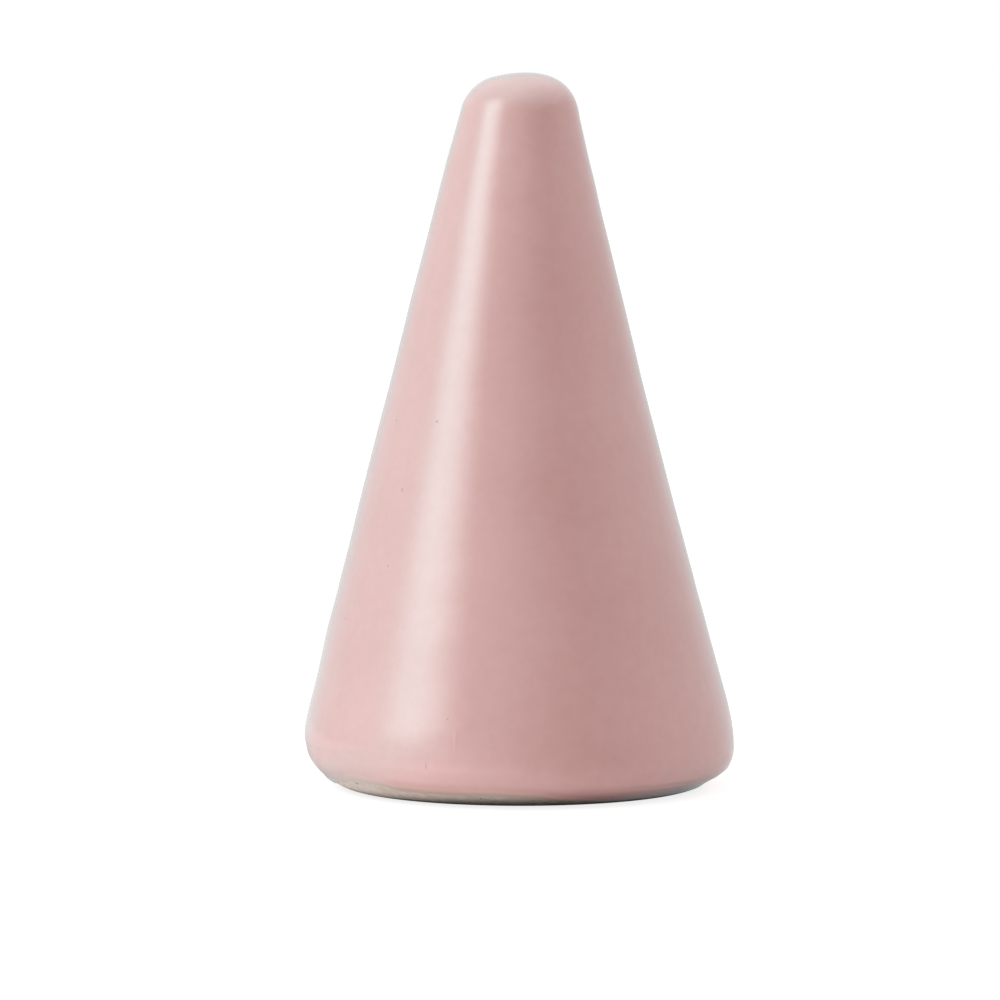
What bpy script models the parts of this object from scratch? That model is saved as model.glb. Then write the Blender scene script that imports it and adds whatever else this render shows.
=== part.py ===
"""Ring holder: a hollow slip-cast stoneware cone under a coat of pink glaze.

Lengths are in metres. +Z is up. The origin is the middle of the foot, on the
surface that the holder stands on.
"""

import math

import bpy

MM = 0.001

# Outside of the glazed holder
HEIGHT = 83.0 * MM
WIDEST_RADIUS = 25.0 * MM
FOOT_RADIUS = 18.8 * MM
SHOULDER_HEIGHT = 5.0 * MM
SHOULDER_BLEND_RADIUS = 16.0 * MM
TIP_RADIUS = 6.7 * MM
TIP_EDGE_RADIUS = 4.6 * MM
CROWN_RADIUS = 16.0 * MM

# Glaze coat
GLAZE_THICKNESS = 0.5 * MM
GLAZE_LINE_HEIGHT = 1.9 * MM
COAT_GAP = 0.3 * MM

# Cast clay wall and the hollow that draining the mould leaves
WALL = 4.0 * MM
HOLLOW_TIP_RADIUS = 3.0 * MM
HOLLOW_CORNER_RADIUS = 4.0 * MM

# Underside
FOOT_RING_WIDTH = 3.0 * MM
FOOT_RECESS = 1.0 * MM
POUR_HOLE_RADIUS = 9.0 * MM
POUR_HOLE_LIP = 0.8 * MM

# Facets
SEGMENTS_AROUND = 64
SHOULDER_STEPS = 8
BLEND_STEPS = 3
EDGE_STEPS = 7
CROWN_STEPS = 3
CORNER_STEPS = 4
LIP_STEPS = 2

# Colours, linear
PINK_GLAZE = (0.60, 0.37, 0.35, 1.0)
BARE_STONEWARE = (0.52, 0.43, 0.37, 1.0)


def arc(centre, radius, start, end, steps):
    """Points on a round arc, from one angle to the other, both included."""
    angles = [start + (end - start) * step / steps for step in range(steps + 1)]
    return [
        (centre[0] + radius * math.cos(angle), centre[1] + radius * math.sin(angle))
        for angle in angles
    ]


def outside_circles():
    """Centres of the two arcs that the straight flank runs between."""
    edge_r = TIP_RADIUS - TIP_EDGE_RADIUS
    reach = CROWN_RADIUS - TIP_EDGE_RADIUS
    edge_z = HEIGHT - CROWN_RADIUS + math.sqrt(reach * reach - edge_r * edge_r)
    blend_r = WIDEST_RADIUS - SHOULDER_BLEND_RADIUS
    return (edge_r, edge_z), (blend_r, SHOULDER_HEIGHT)


def flank_lean():
    """Angle between the flank and the axis: the line that touches both arcs."""
    edge, blend = outside_circles()
    across = blend[0] - edge[0]
    up = edge[1] - blend[1]
    spread = (TIP_EDGE_RADIUS - SHOULDER_BLEND_RADIUS) / math.hypot(across, up)
    return math.acos(spread) - math.atan2(up, across)


def outside(depth, lowest):
    """Outer profile, from the crown on the axis down to the height lowest.

    depth is how far the profile lies under the glazed surface. The arcs and the
    flank keep that depth. Along the shoulder it narrows to nothing at the foot.
    """
    edge, blend = outside_circles()
    lean = flank_lean()
    crown_z = HEIGHT - CROWN_RADIUS
    crown_end = math.atan2(edge[1] - crown_z, edge[0])
    crown = arc((0.0, crown_z), CROWN_RADIUS - depth, math.pi / 2, crown_end, CROWN_STEPS)
    rim = arc(edge, TIP_EDGE_RADIUS - depth, crown_end, lean, EDGE_STEPS)
    blend_down = arc(blend, SHOULDER_BLEND_RADIUS - depth, lean, 0.0, BLEND_STEPS)
    reach = WIDEST_RADIUS - depth - FOOT_RADIUS
    last = math.acos(1.0 - lowest / SHOULDER_HEIGHT)
    turns = [
        math.pi / 2 + (last - math.pi / 2) * step / SHOULDER_STEPS
        for step in range(1, SHOULDER_STEPS + 1)
    ]
    shoulder = [
        (FOOT_RADIUS + reach * math.sin(turn), SHOULDER_HEIGHT * (1.0 - math.cos(turn)))
        for turn in turns
    ]
    return crown + rim[1:] + blend_down + shoulder


def hollow(depth):
    """Inside of the cast wall, from the pour hole's upper lip to the axis.

    depth is how far the clay's outside lies under the glazed surface. The hollow's
    flank runs one wall inside the clay's flank, and ends in a round tip.
    """
    edge, blend = outside_circles()
    lean = flank_lean()
    flank = blend[0] * math.cos(lean) + blend[1] * math.sin(lean)
    flank += SHOULDER_BLEND_RADIUS - depth - WALL
    floor_z = FOOT_RECESS + WALL
    corner_z = floor_z + HOLLOW_CORNER_RADIUS
    corner_r = (flank - HOLLOW_CORNER_RADIUS - corner_z * math.sin(lean)) / math.cos(lean)
    corner = arc(
        (corner_r, corner_z), HOLLOW_CORNER_RADIUS, -math.pi / 2, lean, CORNER_STEPS
    )
    narrowed_z = (flank - HOLLOW_TIP_RADIUS) / math.sin(lean) + HOLLOW_TIP_RADIUS
    top_z = min(narrowed_z, HEIGHT - depth - WALL)
    tip_z = top_z - HOLLOW_TIP_RADIUS
    tip_r = (flank - HOLLOW_TIP_RADIUS - tip_z * math.sin(lean)) / math.cos(lean)
    tip = arc((tip_r, tip_z), HOLLOW_TIP_RADIUS, lean, math.pi / 2, CORNER_STEPS)
    tip[-1] = (0.0, top_z)
    return corner + tip


def underside():
    """Foot ring, recess and pour hole, from the foot's inner edge upwards."""
    ring_inner = FOOT_RADIUS - FOOT_RING_WIDTH
    lip_r = POUR_HOLE_RADIUS + POUR_HOLE_LIP
    lower_z = FOOT_RECESS + POUR_HOLE_LIP
    upper_z = FOOT_RECESS + WALL - POUR_HOLE_LIP
    lower = arc((lip_r, lower_z), POUR_HOLE_LIP, -math.pi / 2, -math.pi, LIP_STEPS)
    upper = arc((lip_r, upper_z), POUR_HOLE_LIP, math.pi, math.pi / 2, LIP_STEPS)
    return [(ring_inner, 0.0), (ring_inner - FOOT_RECESS / 2, FOOT_RECESS)] + lower + upper


def finish(name, colour, roughness):
    """A plain Principled material."""
    material = bpy.data.materials.new(name)
    material.use_nodes = True
    shader = material.node_tree.nodes["Principled BSDF"]
    shader.inputs["Base Color"].default_value = colour
    shader.inputs["Roughness"].default_value = roughness
    shader.inputs["Metallic"].default_value = 0.0
    material.diffuse_color = colour
    return material


def turned(name, profile, material, collection):
    """A solid turned round Z from a closed profile that starts and ends on the axis."""
    mesh = bpy.data.meshes.new(name)
    points = [(radius, 0.0, height) for radius, height in profile]
    edges = [(index, index + 1) for index in range(len(points) - 1)]
    mesh.from_pydata(points, edges, [])
    mesh.materials.append(material)
    piece = bpy.data.objects.new(name, mesh)
    collection.objects.link(piece)
    screw = piece.modifiers.new("Turn", "SCREW")
    screw.axis = "Z"
    screw.steps = SEGMENTS_AROUND
    screw.render_steps = SEGMENTS_AROUND
    screw.use_merge_vertices = True
    screw.merge_threshold = 0.00001
    screw.use_smooth_shade = True
    return piece


def make_body(collection):
    """Cast clay cone: bare foot, recessed base, open pour hole, drained hollow."""
    depth = GLAZE_THICKNESS + COAT_GAP
    profile = outside(depth, 0.0) + underside() + hollow(depth)
    clay = finish("Bare stoneware", BARE_STONEWARE, 0.75)
    return turned("stoneware_body", profile, clay, collection)


def make_glaze(collection):
    """Fired coat over the whole outside, down to the glaze line above the foot."""
    outer = outside(0.0, GLAZE_LINE_HEIGHT)
    inner = outside(GLAZE_THICKNESS, GLAZE_LINE_HEIGHT)
    glaze = finish("Pink glaze", PINK_GLAZE, 0.12)
    return turned("pink_glaze", outer + inner[::-1], glaze, collection)


def main():
    for leftover in list(bpy.data.objects):
        bpy.data.objects.remove(leftover, do_unlink=True)
    collection = bpy.data.collections.new("ring_holder")
    bpy.context.scene.collection.children.link(collection)
    make_body(collection)
    make_glaze(collection)


main()
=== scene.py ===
# %% [markdown]
# # A glazed ring holder
# A small stoneware cone for a dressing table: finger rings are slipped over the
# blunt tip and stop part of the way down. It is one hollow casting, dipped in pink
# glaze down to a bare clay foot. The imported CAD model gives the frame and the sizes,
# and this script lays finer skins over its two solids and gives them their finish.

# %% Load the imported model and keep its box
import bisect
import math

import bmesh
import bpy
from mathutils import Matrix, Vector, noise


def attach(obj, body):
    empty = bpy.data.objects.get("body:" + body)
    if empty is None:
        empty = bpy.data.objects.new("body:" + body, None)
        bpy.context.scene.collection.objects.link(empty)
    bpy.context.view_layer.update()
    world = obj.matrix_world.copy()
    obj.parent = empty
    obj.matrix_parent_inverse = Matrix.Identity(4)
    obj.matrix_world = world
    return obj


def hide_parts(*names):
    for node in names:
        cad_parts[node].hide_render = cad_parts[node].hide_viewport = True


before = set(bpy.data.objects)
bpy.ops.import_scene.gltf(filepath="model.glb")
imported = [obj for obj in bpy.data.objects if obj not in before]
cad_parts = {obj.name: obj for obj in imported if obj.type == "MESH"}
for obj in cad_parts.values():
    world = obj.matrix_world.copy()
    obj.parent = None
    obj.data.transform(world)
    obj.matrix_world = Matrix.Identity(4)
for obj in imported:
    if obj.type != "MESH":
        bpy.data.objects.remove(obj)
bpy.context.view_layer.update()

MM = 0.001

# %% [markdown]
# ## The outline
# Seen from the side the holder is four curves in a row: a shallow crown, a tight
# rounded edge round the tip, a straight flank that meets the shoulder in a long
# blend, and a shoulder that turns under to the foot. They could be drawn by hand as
# one spline, but named sizes keep them true to the CAD part, so the same arcs are
# worked out again here and sampled every tenth of a millimetre. Lengths are in
# millimetres until the meshes are made.

# %% Named sizes of the outline, in millimetres
HEIGHT = 83.0
WIDEST_RADIUS = 25.0
FOOT_RADIUS = 18.8
SHOULDER_HEIGHT = 5.0
BLEND_RADIUS = 16.0
TIP_RADIUS = 6.7
TIP_EDGE_RADIUS = 4.6
CROWN_RADIUS = 16.0
SAMPLE = 0.1


# %% Points on an arc, and the whole outline
def arc(centre, radius, start, end, spacing=SAMPLE):
    """Points (radius, height) on a round arc, both ends included."""
    steps = max(2, round(abs(end - start) * radius / spacing))
    angles = [start + (end - start) * step / steps for step in range(steps + 1)]
    return [
        (centre[0] + radius * math.cos(angle), centre[1] + radius * math.sin(angle))
        for angle in angles
    ]


def straight(start, end, spacing=SAMPLE):
    """Points on a straight run, without its first one."""
    steps = max(1, round(math.dist(start, end) / spacing))
    return [
        tuple(a + (b - a) * step / steps for a, b in zip(start, end))
        for step in range(1, steps + 1)
    ]


edge_r = TIP_RADIUS - TIP_EDGE_RADIUS
crown_z = HEIGHT - CROWN_RADIUS
edge_z = crown_z + math.sqrt((CROWN_RADIUS - TIP_EDGE_RADIUS) ** 2 - edge_r**2)
blend_r = WIDEST_RADIUS - BLEND_RADIUS
run_out = math.hypot(blend_r - edge_r, edge_z - SHOULDER_HEIGHT)
lean = math.acos((TIP_EDGE_RADIUS - BLEND_RADIUS) / run_out)
lean -= math.atan2(edge_z - SHOULDER_HEIGHT, blend_r - edge_r)
crown_end = math.atan2(edge_z - crown_z, edge_r)

outline = arc((0.0, crown_z), CROWN_RADIUS, math.pi / 2, crown_end)
outline += arc((edge_r, edge_z), TIP_EDGE_RADIUS, crown_end, lean)[1:]
blend_down = arc((blend_r, SHOULDER_HEIGHT), BLEND_RADIUS, lean, 0.0)
outline += straight(outline[-1], blend_down[0])[:-1] + blend_down
SHOULDER_STEPS = 90
for step in range(1, SHOULDER_STEPS + 1):
    turn = math.pi / 2 * (1 - step / SHOULDER_STEPS)
    reach = (WIDEST_RADIUS - FOOT_RADIUS) * math.sin(turn)
    outline.append((FOOT_RADIUS + reach, SHOULDER_HEIGHT * (1 - math.cos(turn))))

travelled = [0.0]
for before, after in zip(outline, outline[1:]):
    travelled.append(travelled[-1] + math.dist(before, after))
print(f"flank leans {math.degrees(lean):.2f} degrees, outline {travelled[-1]:.1f} mm long")


# %% Where the outline is after a distance, and which way it faces
def along(distance):
    """Radius, height and outward direction at a distance from the crown's middle."""
    place = min(max(distance, 0.0), travelled[-1])
    after = min(max(bisect.bisect_left(travelled, place), 1), len(outline) - 1)
    share = (place - travelled[after - 1]) / (travelled[after] - travelled[after - 1])
    (r0, z0), (r1, z1) = outline[after - 1], outline[after]
    back, ahead = outline[max(after - 2, 0)], outline[min(after + 1, len(outline) - 1)]
    run = (ahead[0] - back[0], ahead[1] - back[1])
    size = math.hypot(*run)
    return r0 + (r1 - r0) * share, z0 + (z1 - z0) * share, -run[1] / size, run[0] / size


SEARCH_FROM = 4.8  # mm down the outline, on the rounded edge of the tip
SEARCH_STEP = 0.001  # mm, how closely a distance is found


def distance_at_height(height):
    """How far down the outline a height below the tip is."""
    low, high = SEARCH_FROM, travelled[-1]
    while high - low > SEARCH_STEP:
        middle = (low + high) / 2
        if along(middle)[1] > height:
            low = middle
        else:
            high = middle
    return low


# %% [markdown]
# ## What hands and the kiln leave
# No cast and dipped pot is a perfect turned form. This one leans a third of a
# millimetre to one side in the middle of its height, its crown is tipped, and one
# side of its shoulder sits lower. On top of that the surface rises and falls by a few
# hundredths of a millimetre, which is enough to make the edges of a long reflection
# wander. A Displace modifier could do the last part, but both skins have to move
# alike so that they never meet, so one function moves every point. The tables are
# rounded from how far the real holder's sides, measured in its photograph, depart from
# the true outline. The swell is made up.

# %% The unevenness, in millimetres
BOW = (  # height, and how far the axis stands to the right there
    (0, 0.26), (0.3, 0.23), (1.2, 0.04), (12, 0.02), (20, -0.11), (27, -0.20), (34, -0.29),
    (44, -0.32), (55, -0.28), (65, -0.19), (72, -0.11), (77, 0.0), (83, 0.04),
)
GIRTH = (  # height, and how much wider the radius is there
    (0, 0.0), (8, 0.03), (15, 0.05), (19, 0.07), (24, 0.0), (29, -0.05), (38, -0.07),
    (47, -0.12), (52, -0.06), (57, -0.01), (66, 0.0), (71, 0.04), (77, 0.03), (83, 0.0),
)
LEFT_SIDE = (  # height, and how far the left side stands out there
    (0, 0.0), (0.25, 0.0), (0.7, -0.05), (1.4, -0.16), (2.0, -0.13), (3.2, -0.13),
    (4.6, -0.16), (5.4, -0.02), (6.2, 0.0), (8.5, -0.06), (10, -0.04), (12, 0.0),
    (18, 0.05), (24, 0.03), (34, 0.0),
)
RIGHT_SIDE = (
    (0, 0.0), (0.25, 0.0), (0.8, -0.24), (1.3, -0.29), (2.0, -0.19), (2.8, 0.0),
    (7, 0.02), (10, 0.06), (13.5, -0.05), (22, -0.05), (26, 0.0), (77, 0.0), (78.8, 0.08),
    (80.5, 0.0),
)
SIDE_SHARE = (0.25, 0.85)  # share of x in the radius, over which a side's table starts
CLOSE_TO_AXIS = 1.0  # a smaller radius counts as this one there
GIRTH_OVER = (2.0, 6.0)  # radii over which the girth's table starts
CROWN_TIP, CROWN_TIP_OVER = 0.03, (75.0, 81.0)  # slope, and heights over which it starts
CROWN_POINT, CROWN_POINT_OVER = 0.03, (80.0, 82.5)
CROWN_POINT_WITHIN = (1.5, 4.0)  # radii over which it is gone again
CROWN_SINK, EDGE_SINK = 0.04, 0.11  # how far the crown sinks, and its edge besides
SINK_OVER, EDGE_SINK_OVER = (79.2, 81.2), (1.0, 4.5)  # heights, and radii
SHOULDER_TIP, SHOULDER_TIP_OVER = 0.016, (0.0, 2.5)
SHOULDER_TIP_GONE = (7.0, 14.0)  # heights over which it is gone again
SWELL = ((22.0, 0.045), (9.0, 0.016), (4.0, 0.004))  # size across, and height
SWELL_APART = 7.3  # how far apart in the noise the layers are
SWELL_BACK, SWELL_UP = 2.1, 4.7  # where in the noise they start
SWELL_OVER = (0.2, 3.0)  # heights over which the swell starts, above the flat foot
print("the axis bows by up to", max(abs(bow) for _, bow in BOW), "mm")


def ramp(low, high, value):
    """0 below low, 1 above high, and smooth between them."""
    share = min(max((value - low) / (high - low), 0.0), 1.0)
    return share * share * (3 - 2 * share)


def between(table, place):
    """The value at a place, on a smooth curve through a table's points."""
    index = min(max(bisect.bisect_right(table, (place,)), 1), len(table) - 1)
    (low, start), (high, end) = table[index - 1], table[index]
    return start + (end - start) * ramp(low, high, place)


def swell(x, y, z):
    """How far the surface stands out from the true outline."""
    height = 0.0
    for layer, (across, deep) in enumerate(SWELL):
        start = (SWELL_APART * layer, -SWELL_BACK, SWELL_UP)
        spot = Vector([at / across + shift for at, shift in zip((x, y, z), start)])
        height += deep * noise.noise(spot)
    sideways = x / max(math.hypot(x, y), CLOSE_TO_AXIS)
    right = between(RIGHT_SIDE, z) * ramp(*SIDE_SHARE, sideways)
    left = between(LEFT_SIDE, z) * ramp(*SIDE_SHARE, -sideways)
    return height * ramp(*SWELL_OVER, z) + left + right


def warp(x, y, z):
    """The lean and the tips, which move both skins together."""
    radius = math.hypot(x, y)
    wider = 1 + between(GIRTH, z) * ramp(*GIRTH_OVER, radius) / max(radius, GIRTH_OVER[0])
    low_side = SHOULDER_TIP * x * ramp(*SHOULDER_TIP_OVER, z)
    low_side *= 1 - ramp(*SHOULDER_TIP_GONE, z)
    pointed = ramp(*CROWN_POINT_OVER, z) * (1 - ramp(*CROWN_POINT_WITHIN, radius))
    crown_side = x * (CROWN_TIP * ramp(*CROWN_TIP_OVER, z) + CROWN_POINT * pointed)
    sink = CROWN_SINK + EDGE_SINK * ramp(*EDGE_SINK_OVER, radius)
    sink *= ramp(*SINK_OVER, z)
    return x * wider + between(BOW, z), y * wider, z - low_side + crown_side - sink


# %% A skin woven from rings, closed at both poles
def skin(name, rings, closes):
    """A mesh from rings of points; closes says which ends come to a point."""
    shape = bmesh.new()
    woven = []
    for index, ring in enumerate(rings):
        pole = (index == 0 and closes[0]) or (index == len(rings) - 1 and closes[1])
        spots = ring[:1] if pole else ring
        woven.append([shape.verts.new([value * MM for value in spot]) for spot in spots])
    around = max(len(ring) for ring in woven)
    for upper, lower in zip(woven, woven[1:]):
        for here in range(around):
            there = (here + 1) % around
            corners = [upper[here % len(upper)], lower[here % len(lower)]]
            corners += [lower[there % len(lower)], upper[there % len(upper)]]
            shape.faces.new(list(dict.fromkeys(corners)))
    bmesh.ops.recalc_face_normals(shape, faces=shape.faces)
    mesh = bpy.data.meshes.new(name)
    shape.to_mesh(mesh)
    shape.free()
    mesh.polygons.foreach_set("use_smooth", [True] * len(mesh.polygons))
    piece = bpy.data.objects.new(name, mesh)
    bpy.context.scene.collection.objects.link(piece)
    print(name, "has", len(mesh.polygons), "faces")
    return piece


# %% [markdown]
# ## The coat of glaze
# Such a holder is held by its foot and dipped, so the glaze ends in a line a little
# above the table, and not a level one: it climbs to a little over 2 mm at the front
# left and drops to half a millimetre on the right. Round the front it follows the real
# one, and the back is made up. The coat is half a millimetre thick, swells into a low
# bead above the line, and thins out at the line itself. A material alone could paint
# that line, but the bead catches light, so the coat is a closed skin of its own:
# outside, rolled edge and inside.

# %% The glaze line round the foot
AROUND = 288
LINE = (  # degrees round from the front, and height of the line there, before the warp
    (-180, 1.4), (-125, 0.95), (-90, 0.8), (-73, 0.85), (-62, 1.45), (-52, 1.93),
    (-43, 1.78), (-35, 1.45), (-25, 1.45), (-8, 1.6), (3, 1.4), (14, 0.8), (28, 0.5),
    (66, 0.45), (100, 0.5), (140, 0.9), (180, 1.4),
)
WANDER = ((5.0, 0.05), (14.0, 0.05))  # how fine a wander is, and how high
WANDER_UP = 0.3  # where in the noise it is


def glaze_line(turn):
    """Height of the line; turn is 0 at the front and grows to the right, in radians."""
    spot = Vector((math.sin(turn), math.cos(turn), WANDER_UP))
    wander = sum(high * noise.noise(spot * fine) for fine, high in WANDER)
    return between(LINE, math.degrees(turn)) + wander


turns = [-math.pi + 2 * math.pi * step / AROUND for step in range(AROUND)]
line_heights = [glaze_line(turn) for turn in turns]
line_distances = [distance_at_height(height) for height in line_heights]
print(f"glaze line from {min(line_heights):.2f} to {max(line_heights):.2f} mm up, before the warp")

# %% Where a point of a skin lies
GLAZE_THICKNESS = 0.5
EDGE_THICKNESS = 0.08
THINS_OVER = 3.5  # the last millimetres above the line, in which the coat thins out
BEAD_HEIGHT = 0.03
BEAD_MIDDLE, BEAD_SPREAD = 0.55, 0.4  # mm above the line


def coat_thickness(short):
    """Thickness of the glaze at a distance short of the line."""
    full = ramp(0.0, THINS_OVER, short)
    return EDGE_THICKNESS + (GLAZE_THICKNESS - EDGE_THICKNESS) * full


def bead(short):
    """How far the rolled bead above the line stands out."""
    return BEAD_HEIGHT * math.exp(-(((short - BEAD_MIDDLE) / BEAD_SPREAD) ** 2))


def coat_inside(short):
    """The same for the coat's inside, which lies its thickness under the outline."""
    return -coat_thickness(short)


def place(turn, distance, out):
    """A point on the outline, moved out along its direction, unevenness included."""
    r, z, face_r, face_z = along(distance)
    rise = swell(r * math.sin(turn), -r * math.cos(turn), z)
    radius = r + face_r * (out + rise)
    return warp(radius * math.sin(turn), -radius * math.cos(turn), z + face_z * (out + rise))


# %% Rings of the coat: down the outside, round the edge and up the inside
def shares(count, crowd):
    """Numbers from 0 to 1 that crowd towards 1."""
    return [1 - (1 - step / count) ** crowd for step in range(count + 1)]


def coat_ring(share, out):
    """A ring of the coat at a share of the way to the line, and its thicknesses."""
    shorts = [end - share * end for end in line_distances]
    ring = [
        place(turn, share * end, out(short))
        for turn, end, short in zip(turns, line_distances, shorts)
    ]
    return ring, [coat_thickness(short) for short in shorts]


OUTSIDE_RINGS, OUTSIDE_CROWD = 210, 1.5
INSIDE_RINGS, INSIDE_CROWD = 60, 1.6
LIP_STEPS = 5

coat = [coat_ring(share, bead) for share in shares(OUTSIDE_RINGS, OUTSIDE_CROWD)]
lip = EDGE_THICKNESS / 2
for step in range(1, LIP_STEPS):
    bend = math.pi * step / LIP_STEPS
    out = bead(0.0) - (lip + bead(0.0) / 2) * (1 - math.cos(bend))
    past = lip * math.sin(bend)
    ring = [place(turn, end + past, out) for turn, end in zip(turns, line_distances)]
    coat.append((ring, [EDGE_THICKNESS] * AROUND))
for share in reversed(shares(INSIDE_RINGS, INSIDE_CROWD)):
    coat.append(coat_ring(share, coat_inside))
rings = [ring for ring, _ in coat]
depths = [thick for _, thick in coat]
depths[0], depths[-1] = depths[0][:1], depths[-1][:1]  # a pole is one point

glaze_coat = skin("glaze_coat", rings, (True, True))
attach(glaze_coat, "root")
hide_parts("pink_glaze")

# %% [markdown]
# ## The cast clay
# A cone like this is usually cast: liquid clay is poured into a plaster mould through a
# hole in the base, left to stiffen against the walls and drained, so the cone is hollow
# and its inside follows its outside. The bare band at the foot runs on under the glaze.
# The underside is a guess in the same manner: a flat ring to stand on, a recess inside
# it that was trimmed while the clay turned, and a drain hole with sponged, rounded lips.
# It is one closed skin again, because the clay has no joint anywhere.

# %% Named sizes of the underside and the hollow, in millimetres
WALL = 4.0
BARE_DEPTH = 0.1  # how far the bare clay lies under the outline
BARE_BY = 0.8  # height by which it is that far
SKIN_GAP = 0.03
FOOT_RING_WIDTH = 3.0
FOOT_RECESS = 1.0
RING_EDGE = 0.35
HOLE_RADIUS = 9.0
HOLE_LIP = 0.8
CLAY_DEPTH = 0.8
HOLLOW_TIP_RADIUS = 3.0
HOLLOW_CORNER = 4.0


# %% The outside of the clay, which dips under the glaze
def clay_depth(distance, end):
    """How far the clay lies under the outline."""
    if distance > end:
        return BARE_DEPTH * ramp(0.0, BARE_BY, along(distance)[1])
    covered = coat_thickness(end - distance) + SKIN_GAP
    return max(covered, BARE_DEPTH)


CLAY_RINGS, CLAY_CROWD = 150, 2.2
rings = []
for share in shares(CLAY_RINGS, CLAY_CROWD):
    distance = share * travelled[-1]
    depths_here = [clay_depth(distance, end) for end in line_distances]
    rings.append([place(turn, distance, -deep) for turn, deep in zip(turns, depths_here)])

# %% The underside and the hollow, as one profile
ring_inner = FOOT_RADIUS - FOOT_RING_WIDTH
lip_r = HOLE_RADIUS + HOLE_LIP
flank = blend_r * math.cos(lean) + SHOULDER_HEIGHT * math.sin(lean)
flank += BLEND_RADIUS - CLAY_DEPTH - WALL
floor_z = FOOT_RECESS + WALL
corner_z = floor_z + HOLLOW_CORNER
corner_r = (flank - HOLLOW_CORNER - corner_z * math.sin(lean)) / math.cos(lean)
narrow_z = (flank - HOLLOW_TIP_RADIUS) / math.sin(lean)
tip_z = min(narrow_z, HEIGHT - CLAY_DEPTH - WALL - HOLLOW_TIP_RADIUS)
tip_r = (flank - HOLLOW_TIP_RADIUS - tip_z * math.sin(lean)) / math.cos(lean)

FOOT_SPACING, EDGE_SPACING = 0.4, 0.12  # how closely each stretch is sampled
LOWER_SPACING, UPPER_SPACING = 0.16, 0.2
HOLE_SPACING, CORNER_SPACING = 0.3, 0.5
TIP_SPACING, FLANK_SPACING = 0.4, 1.0
quarter = math.pi / 2

ring_edge = (ring_inner + RING_EDGE, RING_EDGE)
under = [(FOOT_RADIUS, 0.0)]
under += straight(under[-1], (ring_inner + RING_EDGE, 0.0), FOOT_SPACING)
under += arc(ring_edge, RING_EDGE, -quarter, -2 * quarter, EDGE_SPACING)[1:]
inner_wall = (ring_inner - RING_EDGE, FOOT_RECESS - RING_EDGE)
under += arc(inner_wall, RING_EDGE, 0.0, quarter, EDGE_SPACING)
lower_lip = (lip_r, FOOT_RECESS + HOLE_LIP)
upper_lip = (lip_r, floor_z - HOLE_LIP)
for stretch, spacing in (
    (arc(lower_lip, HOLE_LIP, -quarter, -2 * quarter, LOWER_SPACING), LOWER_SPACING),
    (arc(upper_lip, HOLE_LIP, 2 * quarter, quarter, UPPER_SPACING), HOLE_SPACING),
    (arc((corner_r, corner_z), HOLLOW_CORNER, -quarter, lean, CORNER_SPACING), CORNER_SPACING),
    (arc((tip_r, tip_z), HOLLOW_TIP_RADIUS, lean, quarter, TIP_SPACING), FLANK_SPACING),
):
    under += straight(under[-1], stretch[0], spacing)[:-1] + stretch
under[-1] = (0.0, tip_z + HOLLOW_TIP_RADIUS)

# %% Trimming marks, drain ripples, and the finished skin
TRIM_MARK, TRIM_SPACING, TRIM_WOBBLE = 0.03, 1.1, 0.35
TRIM_FROM = (HOLE_RADIUS + 1.6, HOLE_RADIUS + 2.4)  # radii between which the marks are
TRIM_TO = (14.6, 15.3)
TRIM_UP_TO = (FOOT_RECESS, FOOT_RECESS + 0.5)
RIPPLE, RIPPLE_ACROSS, RIPPLE_UP = 0.25, 9.0, 14.0
RIPPLE_OVER = (5.0, 9.0)  # heights over which the ripples start
RIPPLE_FROM = 2.0  # a smaller radius counts as this one for them


def roughed(turn, r, z):
    """A point of the underside or the hollow, with trimming marks and drain ripples."""
    x, y = r * math.sin(turn), -r * math.cos(turn)
    in_recess = ramp(*TRIM_FROM, r) * (1 - ramp(*TRIM_TO, r)) * (1 - ramp(*TRIM_UP_TO, z))
    marks = TRIM_MARK * math.sin(2 * math.pi * r / TRIM_SPACING + TRIM_WOBBLE * math.sin(turn))
    spot = Vector((x / RIPPLE_ACROSS, y / RIPPLE_ACROSS, z / RIPPLE_UP))
    ripple = RIPPLE * noise.noise(spot) * ramp(*RIPPLE_OVER, z)
    push = 1 + ripple / max(r, RIPPLE_FROM)
    return warp(x * push, y * push, z + marks * in_recess)


for r, z in under[1:]:
    rings.append([roughed(turn, r, z) for turn in turns])

stoneware = skin("stoneware", rings, (True, True))
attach(stoneware, "root")
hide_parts("stoneware_body")


# %% [markdown]
# ## Colours and nodes
# Colours are written as the sRGB hex values that a colour picker shows, and one
# function turns them into the linear values that Blender's shaders work in. A
# material is a tree of nodes, and one helper adds a node, sets it and wires it up.

# %% Hex to linear, and one node helper
def linear(code):
    """A linear RGBA colour from an sRGB hex code."""
    parts = [int(code[at : at + 2], 16) / 255 for at in (1, 3, 5)]
    return (*[p / 12.92 if p <= 0.04045 else ((p + 0.055) / 1.055) ** 2.4 for p in parts], 1.0)


def node(tree, kind, inputs=(), **settings):
    """Adds a node. inputs pairs a socket with a value or with the output that feeds it."""
    made = tree.nodes.new(kind)
    for key, value in settings.items():
        setattr(made, key, value)
    for key, value in dict(inputs).items():
        if isinstance(value, bpy.types.NodeSocket):
            tree.links.new(value, made.inputs[key])
        else:
            made.inputs[key].default_value = value
    return made


MIX_A, MIX_B, MIX_COLOUR = 6, 7, 2  # the Mix node's colour sockets
PER_MM = 1000.0  # object coordinates are in metres, patterns are sized in millimetres


def new_material(name):
    """An empty material, its output and the object's coordinates."""
    material = bpy.data.materials.new(name)
    material.use_nodes = True
    tree = material.node_tree
    tree.nodes.clear()
    output = node(tree, "ShaderNodeOutputMaterial")
    spots = node(tree, "ShaderNodeTexCoord").outputs["Object"]
    return material, tree, output, spots


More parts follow.
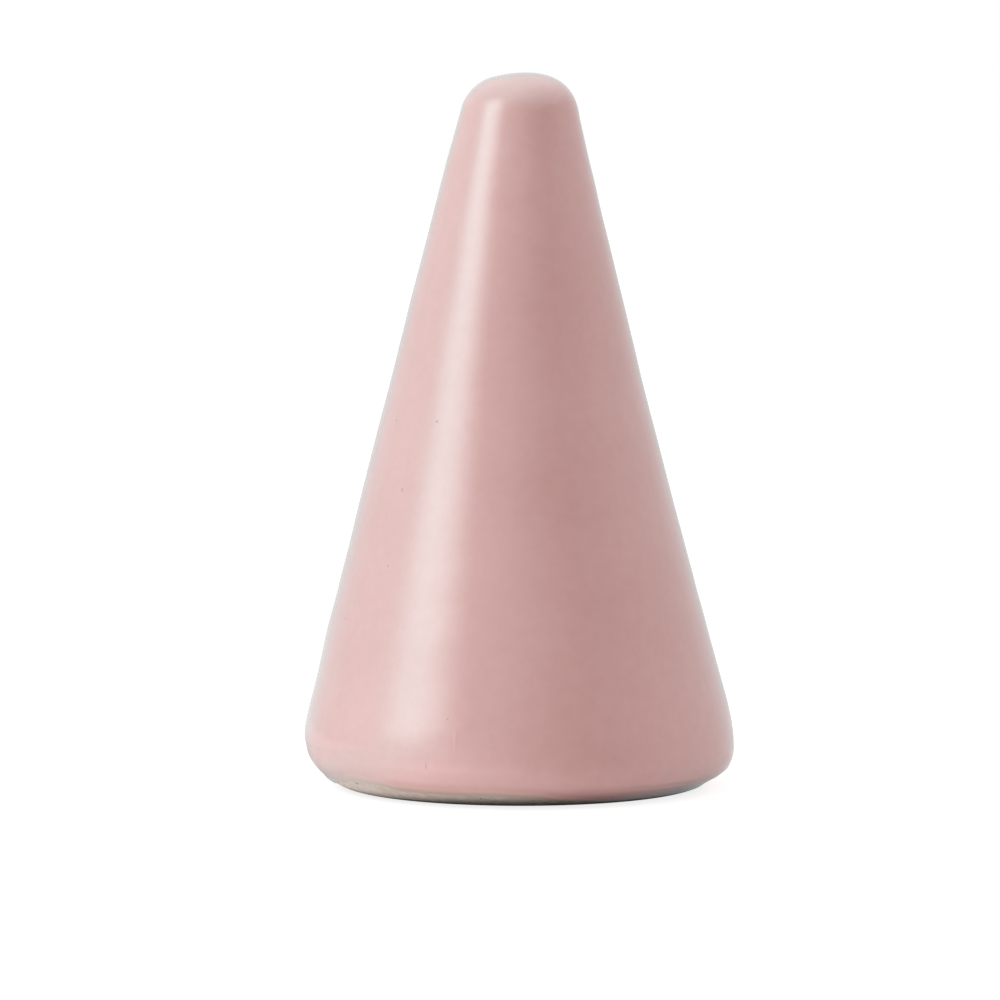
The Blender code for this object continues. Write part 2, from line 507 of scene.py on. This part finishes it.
# %% [markdown]
# ## Pink glaze
# A coloured ceramic glaze: ground glass with a pink stain and a white opacifier,
# fused at about 1200 degrees. It is glass, so its IOR is 1.5 and its skin is clear
# and smooth: that is the clear coat. The stain and fine bubbles sit just under that
# skin and spread the light a little, which is the wide, soft haze of the base layer.
# Where the coat thins out above the line, the clay shows through and greys the pink.

# %% Pink glaze: colours
# Matched, like the clay's colours, to the real holder's as its photograph shows them.
GLAZE_PINK = linear("#CE9C98")
GLAZE_DEEP = linear("#CB9894")
GLAZE_PALE = linear("#D1A09C")
THIN_GLAZE = linear("#CDB3A6")
CLOUD_SIZE, MOTTLE_SIZE = 14.0, 1.6  # mm
CLOUD_SHARE, MOTTLE_SHARE = 0.6, 0.4
DEEP_AT, PINK_AT, PALE_AT = 0.36, 0.5, 0.64  # values of the noise

glaze, tree, output, spots = new_material("Pink stoneware glaze")
clouds = node(
    tree,
    "ShaderNodeTexNoise",
    {"Vector": spots, "Scale": PER_MM / CLOUD_SIZE, "Detail": 3.0, "Roughness": 0.5},
)
mottle = node(
    tree,
    "ShaderNodeTexNoise",
    {"Vector": spots, "Scale": PER_MM / MOTTLE_SIZE, "Detail": 4.0, "Roughness": 0.65},
)
blended = node(
    tree,
    "ShaderNodeMath",
    {0: clouds.outputs["Fac"], 1: CLOUD_SHARE},
    operation="MULTIPLY",
)
blended = node(
    tree,
    "ShaderNodeMath",
    {0: mottle.outputs["Fac"], 1: MOTTLE_SHARE, 2: blended.outputs[0]},
    operation="MULTIPLY_ADD",
)
pinks = node(tree, "ShaderNodeValToRGB", {"Fac": blended.outputs[0]})
pinks.color_ramp.elements[0].position = DEEP_AT
pinks.color_ramp.elements[0].color = GLAZE_DEEP
pinks.color_ramp.elements[1].position = PALE_AT
pinks.color_ramp.elements[1].color = GLAZE_PALE
pinks.color_ramp.elements.new(PINK_AT).color = GLAZE_PINK

# %% [markdown]
# How thick the coat is at each point is known while the mesh is made, so the mesh
# carries it as an attribute and the material reads that, which follows the wavy line
# better than any height in the material could.

# %% Pink glaze: thickness written on the mesh and read in the material
OPAQUE_FROM = 0.2  # mm of glaze, below which the clay starts to show
CLAY_SHOWS = 0.75  # how much it shows where the coat is thinnest

thickness = glaze_coat.data.attributes.new("thickness", "FLOAT", "POINT")
thickness.data.foreach_set("value", [depth for ring in depths for depth in ring])

coat_deep = node(tree, "ShaderNodeAttribute", attribute_name="thickness")
thin = node(
    tree,
    "ShaderNodeMapRange",
    {
        "Value": coat_deep.outputs["Fac"],
        "From Min": EDGE_THICKNESS,
        "From Max": OPAQUE_FROM,
        "To Min": CLAY_SHOWS,
        "To Max": 0.0,
    },
)
pink_to_clay = node(
    tree,
    "ShaderNodeMix",
    {0: thin.outputs[0], MIX_A: pinks.outputs["Color"], MIX_B: THIN_GLAZE},
    data_type="RGBA",
)

# %% Pink glaze: pinholes and other small pits, with painted shade in them
# The pits are dents in the bump. The darker pink in them is painted shade, not a colour of the
# glaze.
PAINTED_PIT_SHADE = linear("#9A6460")
# Degrees round from the front, height, size across and size up, in mm. The last five
# are on the sides and the back, and are made up.
MARKS = (
    (-61.7, 43.1, 0.34, 0.3), (-35.5, 43.3, 0.32, 0.26), (-47.9, 35.4, 0.34, 0.7),
    (-47.7, 26.8, 0.3, 0.3), (-66.4, 20.3, 0.36, 0.36), (-19.6, 10.2, 0.26, 0.24),
    (-25.0, 4.75, 0.14, 1.0), (104.0, 52.5, 0.34, 0.34), (141.0, 30.2, 0.4, 0.36),
    (168.0, 63.1, 0.3, 0.3), (-152.0, 24.6, 0.34, 0.4), (-114.0, 48.7, 0.3, 0.3),
)
RUN = (-17.0, 7.9, 0.5, 9.0)  # a thread of glaze that ran and froze
MARK_CORE, MARK_EDGE = 0.2, 0.6  # shares of a mark's size where it is full, and gone
PIT_SHADE_STRENGTH = 0.4


def mark(tree, spots, turn, height, across, up):
    """1 in a small oval on the flank, 0 round it."""
    middle = Vector(place(math.radians(turn), distance_at_height(height), 0.0)) * MM
    offset = node(
        tree, "ShaderNodeVectorMath", {0: spots, 1: middle}, operation="SUBTRACT"
    ).outputs[0]
    rounded = node(
        tree, "ShaderNodeVectorMath", {0: offset, 1: (1, 1, across / up)}, operation="MULTIPLY"
    ).outputs[0]
    away = node(
        tree, "ShaderNodeVectorMath", {0: rounded}, operation="LENGTH"
    ).outputs["Value"]
    size = across * MM
    return node(
        tree,
        "ShaderNodeMapRange",
        {"Value": away, "From Min": MARK_EDGE * size, "From Max": MARK_CORE * size},
        interpolation_type="SMOOTHSTEP",
    ).outputs[0]


pitted = 0.0
for values in MARKS:
    pitted = node(
        tree,
        "ShaderNodeMath",
        {0: mark(tree, spots, *values), 1: pitted},
        operation="MAXIMUM",
    ).outputs[0]
# Painted shade: inside the pits the pink is mixed this far towards a darker pink.
pit_shade_share = node(
    tree, "ShaderNodeMath", {0: pitted, 1: PIT_SHADE_STRENGTH}, operation="MULTIPLY"
)
pit_shaded_pink = node(
    tree,
    "ShaderNodeMix",
    {0: pit_shade_share.outputs[0], MIX_A: pink_to_clay.outputs[MIX_COLOUR], MIX_B: PAINTED_PIT_SHADE},
    data_type="RGBA",
)
print(len(MARKS), "small marks in the glaze")

# %% Pink glaze: orange peel, and the shader
PEEL_SIZE = 1.3  # mm between the low bumps that the molten glass froze with
PEEL_HIGH, RUN_HIGH, PIT_DEEP = 0.2, 0.01, 0.05  # mm
peel = node(
    tree,
    "ShaderNodeTexNoise",
    {"Vector": spots, "Scale": PER_MM / PEEL_SIZE, "Detail": 2.0, "Roughness": 0.4},
)
peel_bump = node(
    tree,
    "ShaderNodeBump",
    {"Height": peel.outputs["Fac"], "Strength": 0.05, "Distance": PEEL_HIGH * MM},
)
run_bump = node(
    tree,
    "ShaderNodeBump",
    {
        "Height": mark(tree, spots, *RUN),
        "Distance": RUN_HIGH * MM,
        "Normal": peel_bump.outputs["Normal"],
    },
)
pit_bump = node(
    tree,
    "ShaderNodeBump",
    {"Height": pitted, "Distance": PIT_DEEP * MM, "Normal": run_bump.outputs["Normal"]},
    invert=True,
)
glass = node(
    tree,
    "ShaderNodeBsdfPrincipled",
    {
        "Base Color": pit_shaded_pink.outputs[MIX_COLOUR],
        "Roughness": 0.38,
        "IOR": 1.5,
        "Coat Weight": 1.0,
        "Coat Roughness": 0.06,
        "Coat IOR": 1.5,
        "Normal": pit_bump.outputs["Normal"],
        "Coat Normal": pit_bump.outputs["Normal"],
    },
)
tree.links.new(glass.outputs["BSDF"], output.inputs["Surface"])
glaze_coat.data.materials.append(glaze)
print("the glaze has", len(tree.nodes), "nodes")

# %% [markdown]
# ## Bare stoneware
# Buff stoneware clay, fired but not glazed, wiped with a sponge before firing. It is
# open and gritty, so it has no shine: a high roughness, fine sand at 0.3 mm, a few
# dark iron specks. One small nick, knocked into the soft clay, shows at the front left;
# the shade inside it is painted, as the clay's colour mixed towards the specks' brown.

# %% Bare stoneware: colours, sand and specks
CLAY = linear("#CBBFB6")
CLAY_DARK = linear("#B8AAA0")
# The brown of the iron specks, which also serves as the painted shade inside the nick.
IRON_AND_NICK_SHADE = linear("#7A6455")
SAND_SIZE, SPECK_SPACING = 0.9, 1.7  # mm
DARK_AT, LIGHT_AT = 0.3, 0.62  # values of the noise
SPECK_CORE, SPECK_EDGE = 0.05, 0.12  # shares of the spacing where a speck is full, and gone
SPECK_DARKENS = 0.8

clay, tree, output, spots = new_material("Bare buff stoneware")
sandy = node(
    tree,
    "ShaderNodeTexNoise",
    {"Vector": spots, "Scale": PER_MM / SAND_SIZE, "Detail": 5.0, "Roughness": 0.7},
)
sand_colour = node(tree, "ShaderNodeValToRGB", {"Fac": sandy.outputs["Fac"]})
sand_colour.color_ramp.elements[0].position = DARK_AT
sand_colour.color_ramp.elements[0].color = CLAY_DARK
sand_colour.color_ramp.elements[1].position = LIGHT_AT
sand_colour.color_ramp.elements[1].color = CLAY
specks = node(
    tree,
    "ShaderNodeTexVoronoi",
    {"Vector": spots, "Scale": PER_MM / SPECK_SPACING, "Randomness": 1.0},
)
speck = node(
    tree,
    "ShaderNodeMapRange",
    {
        "Value": specks.outputs["Distance"],
        "From Min": SPECK_CORE,
        "From Max": SPECK_EDGE,
        "To Min": SPECK_DARKENS,
        "To Max": 0.0,
    },
)
speckled = node(
    tree,
    "ShaderNodeMix",
    {0: speck.outputs[0], MIX_A: sand_colour.outputs["Color"], MIX_B: IRON_AND_NICK_SHADE},
    data_type="RGBA",
)

# %% Bare stoneware: the nick with its painted shade, the grit and the shader
NICK = (-54.0, 1.5, 0.62, 0.3)  # degrees round, height, size across and size up, in mm
# Painted shade: inside the nick the clay's colour is mixed this far towards the dark iron brown.
NICK_DARKENS = 0.75
GRIT_SIZE = 0.3  # mm
GRIT_HIGH, NICK_DEEP = 0.1, 0.15  # mm
nick = mark(tree, spots, *NICK)
nick_shade = node(tree, "ShaderNodeMath", {0: nick, 1: NICK_DARKENS}, operation="MULTIPLY")
nicked = node(
    tree,
    "ShaderNodeMix",
    {0: nick_shade.outputs[0], MIX_A: speckled.outputs[MIX_COLOUR], MIX_B: IRON_AND_NICK_SHADE},
    data_type="RGBA",
)
grit = node(
    tree,
    "ShaderNodeTexNoise",
    {"Vector": spots, "Scale": PER_MM / GRIT_SIZE, "Detail": 3.0, "Roughness": 0.6},
)
grit_bump = node(
    tree,
    "ShaderNodeBump",
    {"Height": grit.outputs["Fac"], "Strength": 0.5, "Distance": GRIT_HIGH * MM},
)
nick_bump = node(
    tree,
    "ShaderNodeBump",
    {"Height": nick, "Distance": NICK_DEEP * MM, "Normal": grit_bump.outputs["Normal"]},
    invert=True,
)
matte = node(
    tree,
    "ShaderNodeBsdfPrincipled",
    {
        "Base Color": nicked.outputs[MIX_COLOUR],
        "Roughness": 0.75,
        "IOR": 1.5,
        "Specular IOR Level": 0.2,
        "Normal": nick_bump.outputs["Normal"],
    },
)
tree.links.new(matte.outputs["BSDF"], output.inputs["Surface"])
stoneware.data.materials.append(clay)
print("the clay has", len(tree.nodes), "nodes")

# %% [markdown]
# ## The table
# A white sheet that goes on past everything the camera sees. To the camera it is
# nearly white by itself, so that it stays white without any more light on the holder.
# The rest is an ordinary diffuse white, which keeps the faint shadow round the foot.

# %% A flat sheet just under the foot
FLOOR_SPREAD = 3.0
FLOOR_DROP = 0.05 * MM
FLOOR_CELLS = 12
shape = bmesh.new()
bmesh.ops.create_grid(shape, x_segments=FLOOR_CELLS, y_segments=FLOOR_CELLS, size=FLOOR_SPREAD)
for corner in shape.verts:
    corner.co.z = -FLOOR_DROP
floor_mesh = bpy.data.meshes.new("table_top")
shape.to_mesh(floor_mesh)
shape.free()
floor = bpy.data.objects.new("table_top", floor_mesh)
bpy.context.scene.collection.objects.link(floor)

# %% [markdown]
# The glaze mirrors the sheet along the shoulder that turns under, and that sheet is
# dark under the holder's edge and brightest further out at the front left, below the
# softbox. So its own light in reflections changes with the direction from the holder
# and with the distance from it, while the camera sees one even white. Matt surfaces
# get another share, which is strongest on the left, and the shade round the foot stays
# closer to the holder on the softbox's side.
#
# None of this was measured on a real table. The brightnesses in the tables, here and in
# the studio below, are fitted: separate programs worked out from the holder's
# photograph how bright each mirrored direction has to be to give what the photograph
# shows there. They were rounded and then corrected, and some overshoot to make up for
# the blur of the glaze's base layer. They suit one camera, and gloss and matt surfaces
# get different light, which no real lamp does. A plain studio would need only a few
# values, and the holder's own materials use none of these.

# %% The sheet's material: what the camera, gloss and matt surfaces get from it
SEEN_WHITE = 0.82  # the white that the camera gets from the sheet without any light
MIRRORED_UNDER = (  # azimuth and brightness, where 1 is white: under the holder's edge
    (-180, 0.22), (-110, 0.55), (-82, 0.55), (-67, 0.55), (-52, 0.45), (-37, 0.12),
    (-22, 0.0), (0, 0.07), (20, 0.09), (40, 0.2), (60, 0.23), (75, 0.35), (90, 0.46),
    (110, 0.36), (180, 0.22),
)
MIRRORED_NEAR = (
    (-180, 0.33), (-110, 0.51), (-97, 0.46), (-82, 0.64), (-67, 0.74), (-55, 0.98),
    (-45, 1.44), (-37, 1.73), (-30, 1.67), (-22, 1.6), (-10, 1.32), (2, 0.99),
    (14, 0.74), (28, 0.64), (45, 0.39), (67, 0.3), (85, 0.48), (105, 0.74), (125, 0.65),
    (180, 0.33),
)
MIRRORED_MIDDLE = (
    (-180, 0.37), (-130, 0.55), (-112, 0.81), (-97, 1.06), (-82, 1.66), (-67, 2.52),
    (-52, 3.07), (-37, 3.39), (-22, 2.79), (-7, 1.74), (7, 0.67), (22, 0.23),
    (37, 0.45), (52, 0.63), (67, 0.67), (105, 0.63), (130, 0.79), (180, 0.37),
)
AT_TABLE = (
    (-180, 0.76), (-140, 1.16), (-120, 1.46), (-100, 2.38), (-85, 2.96), (-70, 3.5),
    (-60, 3.7), (-50, 3.35), (-40, 2.8), (-30, 2.1), (-15, 1.55), (0, 0.92), (15, 0.49),
    (30, 0.03), (45, 0.18), (60, 0.41), (75, 0.52), (90, 0.68), (120, 0.71), (150, 0.83),
    (180, 0.76),
)
RED_SHARE = (  # azimuth and the share of red left in the light: 1 is neutral, less is cooler
    (-180, 0.86), (-150, 0.88), (-130, 0.98), (-110, 0.97), (-95, 0.93), (-87, 0.87),
    (-80, 0.77), (-72, 0.71), (-62, 0.71), (-50, 0.78), (-42, 0.88), (-32, 0.96),
    (15, 0.91), (35, 0.8), (55, 0.65), (75, 0.85), (95, 0.95), (120, 1.0), (150, 0.95),
    (180, 0.86),
)
UNDER_TO, OPEN_FROM = 0.0226, 0.0261  # metres from the axis, where under turns to near
NEAR_AT, MIDDLE_AT, TABLE_AT = 0.024, 0.036, 0.16  # and where each other table holds
MATT_NEAR = (
    (-180, 0.5), (-100, 0.58), (-80, 0.65), (-65, 0.64), (-52, 0.54), (-40, 0.46),
    (-15, 0.39), (0, 0.35), (20, 0.32), (45, 0.3), (60, 0.33), (90, 0.42), (130, 0.5),
    (180, 0.5),
)
MATT_FAR = (
    (-180, 0.36), (-70, 0.36), (-30, 0.31), (0, 0.26), (60, 0.26), (120, 0.36), (180, 0.36),
)
NEAR, FAR = 0.06, 0.11  # metres from the axis, where the matt light turns to the far one
SHADE_TO, LIT_FROM = 0.0229, 0.0253  # metres: dark inside, open outside
LESS_SHADE = (  # azimuth, and by how many millimetres the shade stays closer
    (-180, 1.6), (-110, 2.5), (-65, 2.65), (-45, 2.5), (-30, 1.9), (-18, 1.25),
    (-5, 0.85), (10, 0.3), (20, 0.05), (30, 0.35), (45, 0.9), (60, 1.3), (90, 1.5),
    (180, 1.6),
)
PAPER_GREY, SEEN_GREY = 0.8, 0.4  # how much of the light on it the sheet sends back
BRIGHTEST = 8.0  # a colour ramp holds 0 to 1, so brightnesses are scaled by this


def round_ramp(tree, azimuth, table):
    """A colour ramp over azimuth, in radians, from a table in degrees."""
    share = node(
        tree, "ShaderNodeMath", {0: azimuth, 1: 1 / math.tau, 2: 0.5}, operation="MULTIPLY_ADD"
    )
    ramped = node(tree, "ShaderNodeValToRGB", {"Fac": share.outputs[0]})
    stops = ramped.color_ramp.elements
    stops.remove(stops[0])
    for index, (angle, colour) in enumerate(table):
        where = (angle + 180) / 360
        stop = stops[0] if index == 0 else stops.new(where)
        stop.position = where
        stop.color = (*colour, 1.0)
    return ramped.outputs["Color"]


def grey(table):
    """Brightnesses as the grey that a ramp can hold."""
    return [(angle, [bright / BRIGHTEST] * 3) for angle, bright in table]


def red_ramp(tree, azimuth, table):
    """White whose red changes over azimuth."""
    return round_ramp(tree, azimuth, [(angle, (red, 1.0, 1.0)) for angle, red in table])


def azimuth_of(tree, part):
    """Which way round a spot or a direction lies: 0 at the front, more to the right."""
    backwards = node(tree, "ShaderNodeMath", {0: part["Y"], 1: -1.0}, operation="MULTIPLY")
    sides = {0: part["X"], 1: backwards.outputs[0]}
    return node(tree, "ShaderNodeMath", sides, operation="ARCTAN2").outputs[0]


def layered(tree, colour, layers):
    """Rounds of light laid over one another, each by the share that comes with it."""
    for share, above in layers:
        mix = {0: share, MIX_A: colour, MIX_B: above}
        colour = node(tree, "ShaderNodeMix", mix, data_type="RGBA").outputs[MIX_COLOUR]
    return colour


white_sheet, tree, output, spots = new_material("White paper sheet")
paths = node(tree, "ShaderNodeLightPath").outputs
azimuth = azimuth_of(tree, node(tree, "ShaderNodeSeparateXYZ", {0: spots}).outputs)
from_axis = node(
    tree, "ShaderNodeVectorMath", {0: spots}, operation="LENGTH"
).outputs["Value"]


def further_out(start, end, value=from_axis, kind="SMOOTHSTEP"):
    """A share that grows from 0 to 1 as the distance from the axis, or a value, grows."""
    limits = {"Value": value, "From Min": start, "From Max": end}
    return node(tree, "ShaderNodeMapRange", limits, interpolation_type=kind).outputs[0]


# %% Its light in reflections
closeness = node(
    tree, "ShaderNodeMath", {0: 1.0, 1: from_axis}, operation="DIVIDE"
).outputs[0]
to_middle = further_out(1 / NEAR_AT, 1 / MIDDLE_AT, closeness, "LINEAR")
to_table = further_out(1 / MIDDLE_AT, 1 / TABLE_AT, closeness, "LINEAR")
beyond_edge = layered(
    tree,
    round_ramp(tree, azimuth, grey(MIRRORED_NEAR)),
    [
        (to_middle, round_ramp(tree, azimuth, grey(MIRRORED_MIDDLE))),
        (to_table, round_ramp(tree, azimuth, grey(AT_TABLE))),
    ],
)
under_edge = round_ramp(tree, azimuth, grey(MIRRORED_UNDER))
ground = layered(tree, under_edge, [(further_out(UNDER_TO, OPEN_FROM), beyond_edge)])
tinted = node(
    tree,
    "ShaderNodeVectorMath",
    {0: ground, 1: red_ramp(tree, azimuth, RED_SHARE)},
    operation="MULTIPLY",
).outputs[0]
for_gloss = node(
    tree, "ShaderNodeEmission", {"Color": tinted, "Strength": BRIGHTEST}
).outputs[0]

# %% Its light on matt surfaces
close_by = further_out(FAR, NEAR)
near_level = round_ramp(tree, azimuth, grey(MATT_NEAR))
level = layered(tree, round_ramp(tree, azimuth, grey(MATT_FAR)), [(close_by, near_level)])
matt_glow = node(
    tree, "ShaderNodeEmission", {"Color": level, "Strength": BRIGHTEST}
).outputs[0]
paper_grey = (PAPER_GREY, PAPER_GREY, PAPER_GREY, 1.0)
paper = node(tree, "ShaderNodeBsdfDiffuse", {"Color": paper_grey}).outputs[0]
bright_paper = node(tree, "ShaderNodeAddShader", {0: paper, 1: matt_glow}).outputs[0]
closer = round_ramp(tree, azimuth, grey(LESS_SHADE))
reach = node(
    tree,
    "ShaderNodeMath",
    {0: closer, 1: BRIGHTEST * MM, 2: from_axis},
    operation="MULTIPLY_ADD",
).outputs[0]
matt_open = further_out(SHADE_TO, LIT_FROM, reach)
for_matt = node(tree, "ShaderNodeMixShader", {0: matt_open, 2: bright_paper})

# %% What the camera sees of it, and which ray gets which
seen_grey = (SEEN_GREY, SEEN_GREY, SEEN_GREY, 1.0)
faint = node(tree, "ShaderNodeBsdfDiffuse", {"Color": seen_grey}).outputs[0]
glow = node(tree, "ShaderNodeEmission", {"Strength": SEEN_WHITE}).outputs[0]
for_camera = node(tree, "ShaderNodeAddShader", {0: faint, 1: glow})
by_gloss = node(
    tree,
    "ShaderNodeMixShader",
    {0: paths["Is Glossy Ray"], 1: for_matt.outputs[0], 2: for_gloss},
)
seen = node(
    tree,
    "ShaderNodeMath",
    {0: paths["Is Camera Ray"], 1: paths["Is Transmission Ray"]},
    operation="MAXIMUM",
)
sheet = node(
    tree,
    "ShaderNodeMixShader",
    {0: seen.outputs[0], 1: by_gloss.outputs[0], 2: for_camera.outputs[0]},
)
tree.links.new(sheet.outputs[0], output.inputs["Surface"])
floor_mesh.materials.append(white_sheet)
print("the sheet has", len(tree.nodes), "nodes")

# %% [markdown]
# ## The studio
# A gloss glaze shows its room, so the room is what makes the highlights. This one is
# imagined from them: a tall, narrow softbox at the front left whose near edge fades,
# white walls further round on the left, a dim room on the right and the camera's side,
# a pale backdrop and a bright ceiling. Its numbers are fitted, as those of the sheet
# are. Lamps and cards could stand there, but the world can hold the same lights
# painted by direction, with hard or soft edges as wished, and it does not move when
# the camera does. Angles are in degrees: azimuth is 0 towards the camera and grows to
# the right, and elevation is above the table. Each table is one round of brightness,
# at the table, along the walls, just above them, at the ceiling's edge and at the
# ceiling, and the world goes smoothly from one round to the next as it rises.

# %% What the glaze mirrors round the room, and what lights matt surfaces
WALLS = (  # azimuth and brightness, where 1 is white
    (-180, 1.04), (-150, 1.3), (-130, 2.0), (-110, 2.42), (-95, 2.7), (-87, 2.9),
    (-80, 3.7), (-74, 5.2), (-68, 6.5), (-62, 7.0), (-56, 6.6), (-50, 5.75), (-44, 4.0),
    (-37, 2.3), (-30, 1.35), (-20, 1.3), (-5, 1.1), (10, 0.6), (25, 0.2), (45, 0.05),
    (65, 0.45), (90, 0.8), (120, 1.03), (150, 1.1), (180, 1.04),
)
WALLS_ABOVE = (
    (-180, 1.01), (-150, 1.52), (-130, 1.9), (-110, 2.45), (-95, 2.8), (-85, 3.6),
    (-77, 5.2), (-70, 6.5), (-60, 7.3), (-53, 7.3), (-46, 6.7), (-40, 5.0), (-34, 3.4),
    (-28, 2.3), (-15, 1.7), (0, 1.4), (25, 1.15), (50, 1.08), (75, 1.27), (110, 1.22),
    (150, 1.23), (180, 1.01),
)
CEILING_EDGE = (
    (-180, 1.96), (-150, 2.38), (-120, 2.89), (-90, 3.04), (-60, 3.43), (-30, 3.11),
    (0, 2.89), (25, 2.68), (50, 2.18), (75, 1.97), (110, 2.32), (150, 2.18),
    (180, 1.96),
)
CEILING = ((-180, 3.4), (-90, 3.8), (-30, 3.9), (45, 3.5), (110, 3.35), (180, 3.4))
WALLS_BY = 26.0  # degrees up, where the table's brightness has given way to the walls'
ABOVE_FROM, ABOVE_BY = 24.8, 29.6
LEAN_BY, LEAN_FROM = 16.0, 22.5  # fitted: lower down, the softbox is further to the left
LEAN = math.radians(3.5)  # by this much
EDGE_FROM, EDGE_AT, CEILING_AT = 28.0, 54.0, 85.0
RED_ABOVE = (
    (-180, 0.88), (-120, 0.87), (-80, 0.77), (-60, 0.78), (0, 0.79), (40, 0.73),
    (70, 0.82), (100, 0.9), (130, 0.95), (180, 0.88),
)
RED_FROM, RED_BY = 30.0, 42.0
PLAIN = 0.43  # a matt surface gets this from everywhere
SIDES = 0.4  # up to this much more from the left and the right
KEY_LIGHT = 0.42  # this much more from the front left above, as much less from opposite
KEY_AZIMUTH, KEY_ELEVATION = math.radians(-40.0), math.radians(44.0)

world = bpy.data.worlds.new("Studio")
world.use_nodes = True
bpy.context.scene.world = world
tree = world.node_tree
tree.nodes.clear()


toward = node(tree, "ShaderNodeTexCoord").outputs["Generated"]
part = node(tree, "ShaderNodeSeparateXYZ", {0: toward}).outputs
azimuth = azimuth_of(tree, part)
elevation = node(tree, "ShaderNodeMath", {0: part["Z"]}, operation="ARCSINE").outputs[0]


# %% The mirrored room
def climb(start, end, kind="SMOOTHSTEP"):
    """A share that grows from 0 to 1 between two elevations in degrees."""
    limits = {"From Min": math.radians(start), "From Max": math.radians(end)}
    settings = {"Value": elevation, **limits}
    return node(tree, "ShaderNodeMapRange", settings, interpolation_type=kind).outputs[0]


upright = climb(LEAN_BY, LEAN_FROM, "LINEAR")
shifted = node(tree, "ShaderNodeMath", {0: azimuth, 1: LEAN}, operation="ADD").outputs[0]
leaning = node(
    tree, "ShaderNodeMath", {0: upright, 1: -LEAN, 2: shifted}, operation="MULTIPLY_ADD"
).outputs[0]
room = layered(
    tree,
    round_ramp(tree, azimuth, grey(AT_TABLE)),
    [
        (climb(0.0, WALLS_BY), round_ramp(tree, leaning, grey(WALLS))),
        (climb(ABOVE_FROM, ABOVE_BY), round_ramp(tree, azimuth, grey(WALLS_ABOVE))),
        (climb(EDGE_FROM, EDGE_AT, "LINEAR"), round_ramp(tree, azimuth, grey(CEILING_EDGE))),
        (climb(EDGE_AT, CEILING_AT, "LINEAR"), round_ramp(tree, azimuth, grey(CEILING))),
    ],
)
mirrored = node(
    tree, "ShaderNodeMath", {0: room, 1: BRIGHTEST}, operation="MULTIPLY"
).outputs[0]
red_above = red_ramp(tree, azimuth, RED_ABOVE)
tint = layered(
    tree, red_ramp(tree, azimuth, RED_SHARE), [(climb(RED_FROM, RED_BY), red_above)]
)

# %% The light on matt surfaces, and which ray gets which
key = KEY_LIGHT * Vector(
    (
        math.sin(KEY_AZIMUTH) * math.cos(KEY_ELEVATION),
        -math.cos(KEY_AZIMUTH) * math.cos(KEY_ELEVATION),
        math.sin(KEY_ELEVATION),
    )
)
sideways = node(
    tree, "ShaderNodeMath", {0: part["X"], 1: part["X"]}, operation="MULTIPLY"
).outputs[0]
matt_light = PLAIN
for value, gain in ((sideways, SIDES), *zip((part[axis] for axis in "XYZ"), key)):
    matt_light = node(
        tree, "ShaderNodeMath", {0: value, 1: gain, 2: matt_light}, operation="MULTIPLY_ADD"
    ).outputs[0]
path = node(tree, "ShaderNodeLightPath").outputs
room_light = node(
    tree,
    "ShaderNodeMix",
    {0: path["Is Glossy Ray"], 2: matt_light, 3: mirrored},
    data_type="FLOAT",
).outputs[0]
white_seen = node(
    tree,
    "ShaderNodeMath",
    {0: path["Is Camera Ray"], 1: path["Is Transmission Ray"]},
    operation="MAXIMUM",
).outputs[0]
strength = node(
    tree,
    "ShaderNodeMix",
    {0: white_seen, 2: room_light, 3: 1.0},
    data_type="FLOAT",
).outputs[0]
colour = node(
    tree,
    "ShaderNodeMix",
    {0: path["Is Glossy Ray"], MIX_A: (1.0, 1.0, 1.0, 1.0), MIX_B: tint},
    data_type="RGBA",
).outputs[MIX_COLOUR]
sky = node(tree, "ShaderNodeBackground", {"Color": colour, "Strength": strength})
node(tree, "ShaderNodeOutputWorld", {"Surface": sky.outputs[0]})
print("the world has", len(tree.nodes), "nodes")

# %% [markdown]
# ## The camera
# The photograph was taken from a little above the table with a long lens: the rim of
# the foot is a very flat ellipse, and both sides of the cone are seen alike. The
# holder stands a little right of the picture's middle and above it.

# %% Camera
CAMERA_HEIGHT_ANGLE = math.radians(4.2)
CAMERA_DISTANCE = 0.7
LENS = 216.7
SENSOR_WIDTH = 36.0
PICTURE_WIDTH = 1000  # pixels
AIM = Vector((-0.0022, 0.0, 0.0334))

camera_data = bpy.data.cameras.new("camera")
camera_data.sensor_width = SENSOR_WIDTH
camera_data.lens = LENS
camera_data.clip_start = 0.01
camera_data.clip_end = 20.0
camera = bpy.data.objects.new("camera", camera_data)
bpy.context.scene.collection.objects.link(camera)
away = Vector((0.0, -math.cos(CAMERA_HEIGHT_ANGLE), math.sin(CAMERA_HEIGHT_ANGLE)))
camera.location = AIM + away * CAMERA_DISTANCE
camera.rotation_mode = "QUATERNION"
camera.rotation_quaternion = (-away).to_track_quat("-Z", "Y")
bpy.context.scene.camera = camera
bpy.context.scene.view_settings.view_transform = "Standard"
pixels = LENS / SENSOR_WIDTH * PICTURE_WIDTH / (CAMERA_DISTANCE / MM)
print(f"one millimetre is {pixels:.2f} pixels")
